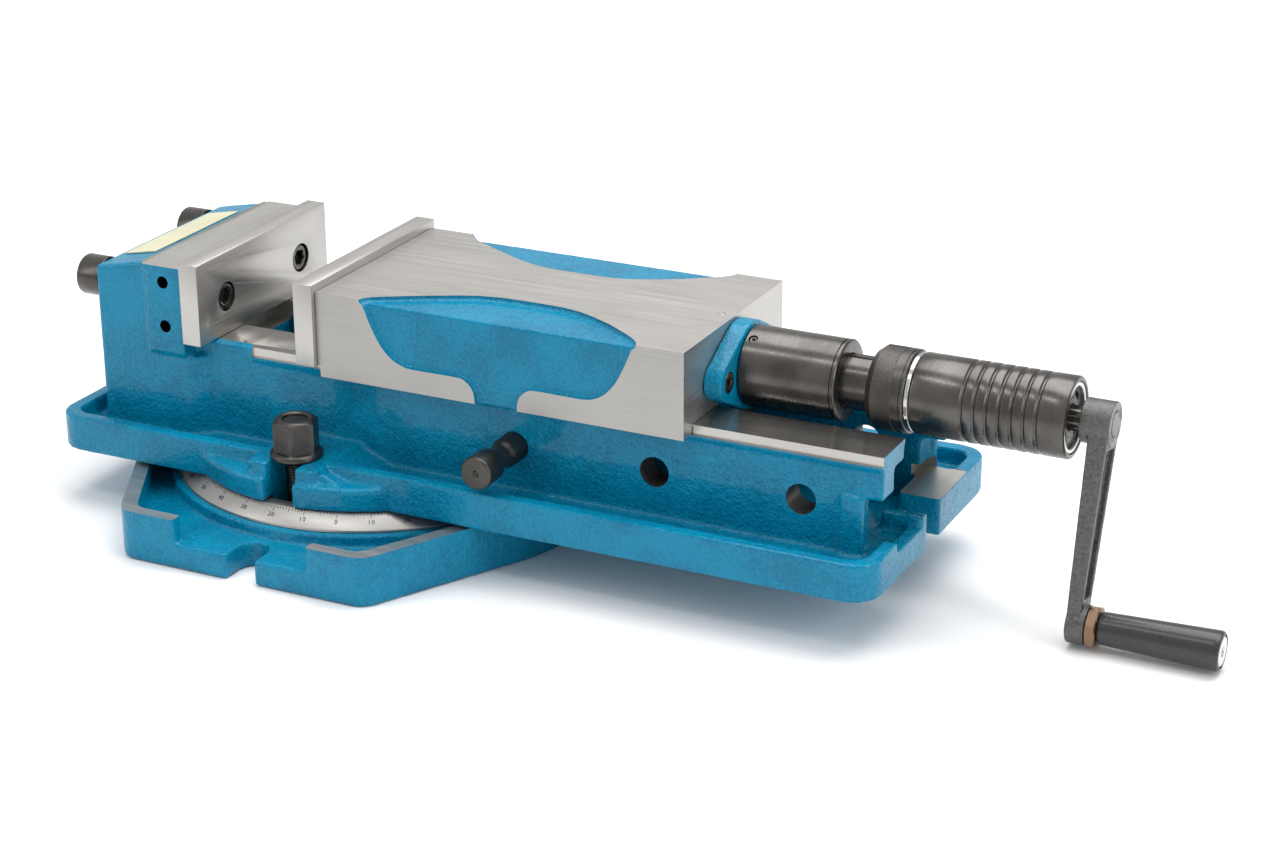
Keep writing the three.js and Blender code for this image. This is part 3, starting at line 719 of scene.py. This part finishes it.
def make_screws():
    sunk = 1.2
    for kind, sign, x in (("fixed", 1, FIXED_HIGH[0] - sunk),
                          ("moving", -1, MOVING_LOW[0] + sunk)):
        for name, side in (("near", -1), ("far", 1)):
            node = f"{kind}_plate_screw_{name}"
            spot = (x, *node_middle(node)[1:])
            revolved(node + "_cap", node, cap_rings(9, 8, 6, 30, 10), BLACK_X,
                     aimed(spot, (sign, 0, 0), 0.3 * side), 48)
    for name in ("near", "far"):
        node = f"back_screw_{name}"
        spot = (node_box(node)[0][0], *node_middle(node)[1:])
        revolved(node + "_cap", node, cap_rings(14, 18, 8, 28, 14), BLACK_X,
                 aimed(spot, (-1, 0, 0)), 72)
        node = f"flange_screw_{name}"
        spot = (node_box(node)[1][0], *node_middle(node)[1:])
        revolved(node + "_cap", node, cap_rings(6.5, 5, 4, 22, 5), BLACK_X,
                 aimed(spot, (1, 0, 0), 0.4), 48)


# ---------------------------------------------------------------- swivel clamps and pin
def make_clamps():
    for name, side in (("near", -1), ("far", 1)):
        low, high = node_box(f"clamp_nut_{name}")
        place = Matrix.Translation((0, side * STUD_CIRCLE, low[2]))
        tall = high[2] - low[2]
        half = 13.5
        corner = hex_corner(half)
        rings = [(0, 8.3), (0, 16.9), (0.6, 17.5), (2.6, 17.5), (3.4, 17.0), (4.4, corner),
                 (4.8, corner, half)]
        for i in range(7):
            share = i / 6
            rings.append((tall - 2.6 + 1.9 * share, corner - (corner - 13.1) * share, half))
        rings += [(tall - 0.4, 12.6), (tall, 11.8), (tall, 9.6), (tall - 0.9, 8.3)]
        revolved(f"clamp_nut_{name}_hex", f"clamp_nut_{name}", rings, BLACK_Z,
                 place @ Matrix.Rotation(math.radians(20), 4, "Z"), 72, closed=True)
        tip = high[2] - 1.8
        foot = node_box(f"clamp_bolt_{name}")[0][2]
        stem = relief(8.0, 14, tip, 40, 290, thread(2.0, 0.85, 40, tip - 0.5),
                      Matrix.Translation((0, side * STUD_CIRCLE, 0)))
        head = block(-11, 11, side * STUD_CIRCLE - 11, side * STUD_CIRCLE + 11, foot, 14)
        bmesh.ops.bevel(head, geom=head.edges[:], offset=1.0, segments=2, affect="EDGES")
        absorb(stem, head)
        finished(f"clamp_stud_{name}", f"clamp_bolt_{name}",
                 mesh_of(stem, f"clamp_stud_{name}", BLACK_Z))


def make_pin():
    knob = [(-62, 0), (-62, 8.8), (-61, 9.8), (78, 9.8), (80, 9.3), (82, 8.2), (84, 7.65),
            (87, 7.5), (90, 7.6), (92.5, 8.3), (95, 9.7), (97, 10.7), (99, 11), (114.4, 11),
            (115.4, 10.6), (116, 9.8), (116, 2.4), (115.2, 1.8), (113.5, 0)]
    revolved("locating_pin_turned", "locating_pin", knob, BLACK_Y,
             aimed((PIN_X, 0, PIN_Z), (0, -1, 0)), 72)


# ---------------------------------------------------------------- degree ring
RING_TOP_R, RING_LOW_R = 126.0, 136.0
RING_TOP_Z, RING_LOW_Z = 35.6, 27.0
DIAL_ZERO = 19.0


def on_cone(angle, down, lift=0.0):
    """A place on the ring's bevel: degrees from -Y towards +X, and mm down its slope."""
    run, fall = RING_LOW_R - RING_TOP_R, RING_TOP_Z - RING_LOW_Z
    length = math.hypot(run, fall)
    radius = RING_TOP_R + run * down / length + lift * fall / length
    z = RING_TOP_Z - fall * down / length + lift * run / length
    turn = math.radians(angle)
    return (radius * math.sin(turn), -radius * math.cos(turn), z)


def make_dial():
    rings = [(25.3, 117.5), (25.3, RING_LOW_R), (RING_LOW_Z - 0.3, RING_LOW_R),
             (RING_LOW_Z, RING_LOW_R - 0.2), (RING_TOP_Z - 0.2, RING_TOP_R + 0.1),
             (RING_TOP_Z, RING_TOP_R - 0.3), (RING_TOP_Z, 117.8), (RING_TOP_Z - 0.3, 117.5)]
    revolved("degree_ring_turned", "degree_ring", rings, DIAL_STEEL,
             Matrix.Identity(4), 360, closed=True)
    marks = bmesh.new()
    half, proud, sunk = 0.075, 0.05, -0.1
    for degree in range(-180, 180):
        long = 4.2 if degree % 10 == 0 else 3.2 if degree % 5 == 0 else 2.2
        middle = DIAL_ZERO + degree
        corners = [(middle - half, 0.5), (middle + half, 0.5), (middle + half, long),
                   (middle - half, long)]
        top = [marks.verts.new(on_cone(a, d, proud)) for a, d in corners]
        low = [marks.verts.new(on_cone(a, d, sunk)) for a, d in corners]
        marks.faces.new(top)
        marks.faces.new(low[::-1])
        for i in range(4):
            j = (i + 1) % 4
            marks.faces.new((top[i], low[i], low[j], top[j]))
    numerals = {}
    baseline, text_radius = 8.6, 132.0
    for tens in range(-17, 19):
        value = abs(tens) * 10
        if value > 90:
            value = 180 - value
        if value not in numerals:
            curve = bpy.data.curves.new("numeral", "FONT")
            curve.body = str(value)
            curve.size = 4.4
            curve.align_x = "CENTER"
            curve.extrude = 0.05
            curve.space_character = 1.15
            curve.resolution_u = 3
            holder = linked("numeral", curve)
            graph = bpy.context.evaluated_depsgraph_get()
            numerals[value] = bpy.data.meshes.new_from_object(holder.evaluated_get(graph))
            bpy.data.objects.remove(holder)
        letters = bmesh.new()
        letters.from_mesh(numerals[value])
        bmesh.ops.remove_doubles(letters, verts=letters.verts, dist=1e-4)
        for vert in letters.verts:
            down = baseline - vert.co.y
            angle = DIAL_ZERO + tens * 10 + math.degrees(vert.co.x / text_radius)
            vert.co = Vector(on_cone(angle, down, vert.co.z))
        absorb(marks, letters)
    piece = linked("degree_marks", mesh_of(marks, "degree_marks", INK))
    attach(piece, BODY_OF["degree_ring"])


# ---------------------------------------------------------------- power unit
def make_power_unit():
    big, small = 26.2, 17.5
    rings = [(252, 0), (252, 24), (262, 24), (262, 20), (281.3, 20), (281.6, big - 0.8),
             (282.4, big), (343.3, big), (343.5, big - 0.8), (344.2, big - 0.8), (344.4, big),
             (346.0, big), (346.8, big - 0.7), (347, big - 1.4), (347, small + 0.4),
             (331, small + 0.4), (331, 0)]
    piece = revolved("power_cylinder_turned", "power_cylinder", rings, BLACK_X, steps=128)
    for i in (1, 2, 3):
        spot = Vector(node_middle(f"set_screw_{i}"))
        outward = Vector((0, spot.y, spot.z - AXIS_Z)).normalized()
        centre = Vector((spot.x, 0, AXIS_Z))
        boolean(piece, [rod(centre + outward * 21, outward, 3.1, 9)], "DIFFERENCE", BLACK_X)
        cup = [(0, 0), (0, 2.2), (0.4, 2.6), (3.3, 2.6), (3.7, 2.2), (3.7, 1.7),
               (3.5, 1.5, 1.3), (2.2, 1.5, 1.3), (1.8, 0)]
        revolved(f"set_screw_{i}_cup", f"set_screw_{i}", cup, IRON,
                 aimed(centre + outward * 21.6, outward), 36)
    soften(piece.data, 35.0)
    tube = [(330.4, 11), (330.4, 17.1), (330.8, small), (398.6, small), (399, 17.1),
            (399, 11)]
    piece = revolved("neck_tube_turned", "neck_tube", tube, BLACK_X, steps=96, closed=True)
    boolean(piece, [block(348, 366, -3.2, 3.2, AXIS_Z + small - 3, AXIS_Z + small + 2)],
            "DIFFERENCE", BLACK_X)
    soften(piece.data, 35.0)
    key = box_block(*node_box("neck_key"))
    bmesh.ops.bevel(key, geom=key.edges[:], offset=0.5, segments=2, affect="EDGES")
    finished("neck_key_block", "neck_key", mesh_of(key, "neck_key_block", BLACK_X))
    screw = relief(15, 84, 275.6, 48, 640, thread(6.0, 1.6, 90, 250), ALONG_X, (-1, 1))
    finished("spindle_thread", "spindle_screw", mesh_of(screw, "spindle_thread", IRON))


def make_knurled_ring():
    """Coarse diamond knurl between a chamfered face and a plain collar."""
    steps, rows = 360, 150
    low, high = 366.6, 392.0
    starts = 96
    slope = starts / (2 * math.pi * KNURL_R)
    chamfer_end, collar = low + 4.4, 383.6

    def depth(angle, z):
        if z < chamfer_end:
            return (chamfer_end - z) * 0.75
        if collar < z < 384.4:
            return 0.5
        if 389.4 < z < 390.2:
            return 0.6
        if z > high - 0.6:
            return z - high + 0.7
        if z > collar:
            return 0.1
        around = angle / (2 * math.pi) * starts
        along = (z - low) * slope
        a, b = (around + along) % 1.0, (around - along) % 1.0
        return 0.42 * (1 - min(1.0, 2.6 * min(a, 1 - a), 2.6 * min(b, 1 - b)))

    bm = bmesh.new()
    grid = relief_rows(bm, KNURL_R, low, high, steps, rows, depth)
    for z in (high, low):
        grid.append(ring(bm, steps, z, lambda angle: NECK_BORE_R))
    for first, second in zip(grid, grid[1:] + grid[:1]):
        band(bm, first, second)
    bmesh.ops.transform(bm, matrix=ALONG_X, verts=bm.verts)
    finished("knurled_ring_turned", "knurled_ring",
             mesh_of(bm, "knurled_ring_turned", KNURL, 50.0))


def make_sleeve():
    outer = SLEEVE_HIGH[1]
    lock_ring = [(392.3, NECK_BORE_R), (392.3, 24.8), (392.7, 25.2), (394.8, 25.2),
                 (395.2, 24.8), (395.2, NECK_BORE_R)]
    revolved("lock_ring_turned", "lock_ring", lock_ring, CHROME, closed=True)
    rings = [(395.5, NECK_BORE_R), (395.5, outer - 1.0), (396.0, outer - 0.3),
             (396.8, outer)]
    for i in range(7):
        x = 427.5 + 7.9 * i
        rings += [(x, outer)]
        for k in range(9):
            share = k / 8
            drop = 1.25 * math.sin(math.pi * share) ** 0.8 if 0 < share < 1 else 0.12
            rings.append((x + 0.35 + 2.7 * share, outer - drop))
        rings += [(x + 3.4, outer)]
    rings += [(UNIT_END - 1.2, outer), (UNIT_END - 0.4, outer - 0.4), (UNIT_END, outer - 1.2),
              (UNIT_END, 22.9), (UNIT_END - 0.4, 22.5), (400, 22.5), (400, NECK_BORE_R)]
    revolved("ribbed_sleeve_turned", "ribbed_sleeve", rings, BLACK_X, steps=128, closed=True)
    plate = [(488, 8.5), (488, 22.2), (491.2, 22.2), (491.5, 21.9), (491.5, 18.6),
             (490.9, 18.2), (490.9, 12.6), (491.5, 12.2), (491.5, 8.9), (491.1, 8.5)]
    piece = revolved("end_plate_turned", "end_plate", plate, CAST_BLACK, closed=True)
    slot_r = 15.4
    for angle in (45, 135, 225, 315):
        turn = math.radians(angle)
        for offset in (-0.16, 0.0, 0.16):
            spot = (486, slot_r * math.cos(turn + offset),
                    AXIS_Z + slot_r * math.sin(turn + offset))
            boolean(piece, [rod(spot, (1, 0, 0), 2.0, 8, 32)], "DIFFERENCE", CAST_BLACK)
    soften(piece.data, 35.0)
    revolved("end_ring_turned", "end_ring",
             [(491.8, 19.6), (491.8, 22.0), (493.4, 22.2), (493.8, 21.8), (493.8, 20.0),
              (493.4, 19.6)], CHROME, closed=True)


# ---------------------------------------------------------------- crank
CRANK = Matrix.Translation((CRANK_X, 0, AXIS_Z)) @ Matrix.Rotation(-CRANK_LEAN, 4, "X")
CRANK_TURNED = CRANK @ aimed((0, 0, 0), (1, 0, 0))
HANDLE = CRANK @ Matrix.Translation((0, 0, -CRANK_THROW))
HANDLE_TURNED = HANDLE @ aimed((0, 0, 0), (1, 0, 0))


def tapered(near, far):
    """A bar from one cross section to another; each is (z, half width, x low, x high)."""
    bm = bmesh.new()
    rows = []
    for z, half, x0, x1 in (near, far):
        rows.append([bm.verts.new(co) for co in ((x0, -half, z), (x1, -half, z),
                                                 (x1, half, z), (x0, half, z))])
    bm.faces.new(rows[0][::-1])
    bm.faces.new(rows[1])
    for i in range(4):
        j = (i + 1) % 4
        bm.faces.new((rows[0][i], rows[0][j], rows[1][j], rows[1][i]))
    bmesh.ops.transform(bm, matrix=CRANK, verts=bm.verts)
    bmesh.ops.recalc_face_normals(bm, faces=bm.faces)
    return bm


def make_crank():
    throw = CRANK_THROW
    hub = loops([(-6, 0), (-6, 14), (13, 14), (13, 0)], 64, matrix=CRANK_TURNED)
    piece = linked("crank_arm_cast", mesh_of(hub, "crank_arm_cast", CAST_BLACK))
    eye = loops([(0, 0), (0, 12.6), (12, 12.6), (12, 0)], 64, matrix=HANDLE_TURNED)
    web = tapered((0, 12.6, 0, 12.6), (-throw, 10.4, 0, 8.6))
    boolean(piece, [eye, web], "UNION")
    boolean(piece, [tapered((-16, 8.6, 8.0, 20), (-throw + 16.5, 6.6, 4.6, 20))],
            "DIFFERENCE")
    cast_surface(piece, 0.6, 4, 0.08)
    repaint(piece.data, CAST_BLACK)
    half = 7.8
    hexed = loops([(-12, 0), (-12, 8.3, half), (20, 8.3, half), (20, 0)], 48,
                  matrix=CRANK_TURNED)
    bore = loops([(-4, 0), (-4, 6.3), (16, 6.3), (16, 0)], 48, matrix=HANDLE_TURNED)
    faced = [loops([(13, 0), (13, 30), (20, 30), (20, 0)], 48, matrix=CRANK_TURNED),
             loops([(12, 0), (12, 16), (20, 16), (20, 0)], 48, matrix=HANDLE_TURNED)]
    boolean(piece, [hexed, bore, *faced], "DIFFERENCE", BLACK_X)
    thinned(piece, 60_000)
    finished("crank_arm_cast", "crank_arm", piece)
    low = node_box("drive_shaft")[0][0] - CRANK_X
    shaft = [(low, 0), (low, 7.4), (low + 0.6, 8), (-7.9, 8), (-7.6, 8, 7.5), (12.6, 8, 7.5),
             (13.2, 7.4, 7.5), (13.2, 0)]
    revolved("drive_shaft_hexed", "drive_shaft", shaft, BLACK_X, CRANK_TURNED, 72)
    axle = [(0.4, 0), (0.4, 5.6), (0.8, 6), (93, 6), (93, 9.2), (93.3, 9.5), (94.4, 9.5),
            (95, 8.9), (95, 3.6), (94.2, 3.3, 2.9), (93.4, 3.3, 2.9), (93.2, 0)]
    revolved("grip_axle_turned", "grip_axle", axle, CHROME, HANDLE_TURNED, 72)
    half = 12.0
    corner = hex_corner(half)
    nut = [(12.3, 6.3), (12.3, 11.6), (12.9, corner - 0.9, half), (13.4, corner, half),
           (17.9, corner, half), (18.4, corner - 0.9, half), (19.0, 11.6), (19.0, 6.3)]
    revolved("grip_nut_hex", "grip_nut", nut, BRONZE,
             HANDLE_TURNED @ Matrix.Rotation(0.35, 4, "Z"), 72, closed=True)
    grip = [(19.4, 6.3), (19.4, 9.0), (19.9, 9.8), (21, 10.2), (23, 10.35)]
    for i in range(12):
        share = (i + 1) / 12
        grip.append((23 + 68 * share, 10.35 + 2.2 * share))
    grip += [(93, 12.5), (94.3, 12.1), (95, 11.2), (95, 10.4), (94.6, 10.2), (92.6, 10.2),
             (92.6, 6.3)]
    revolved("grip_moulded", "grip", grip, PLASTIC, HANDLE_TURNED, 96, closed=True)


def make_small_parts():
    """The oil plug, and materials for the nodes that keep their CAD mesh."""
    plug = [(JAW_TOP - 3.6, 0), (JAW_TOP - 3.6, 3), (JAW_TOP - 0.1, 3), (JAW_TOP + 0.1, 2.8),
            (JAW_TOP + 0.1, 1.9), (JAW_TOP - 0.5, 1.6), (JAW_TOP - 0.2, 0.9),
            (JAW_TOP + 0.05, 0)]
    revolved("oil_plug_ball", "oil_plug", plug, CHROME, Matrix.Translation((259, 0, 0)), 48)
    kept = {"name_plate": LABEL, "pivot_pin": IRON, "nut_block": CAST_BLACK,
            "keeper_front": IRON, "keeper_rear": IRON, "plunger": STEEL_X}
    kept |= {node: BLACK_Z for node in NODES if node.startswith("keeper_screw")}
    for node, material in kept.items():
        repaint(NODES[node].data, material)


make_camera()
make_stage()
make_bed()
make_base()
make_moving_jaw()
make_flange()
make_plate("fixed_jaw_plate", 1)
make_plate("moving_jaw_plate", -1)
make_screws()
make_clamps()
make_pin()
make_dial()
make_power_unit()
make_knurled_ring()
make_sleeve()
make_crank()
make_small_parts()
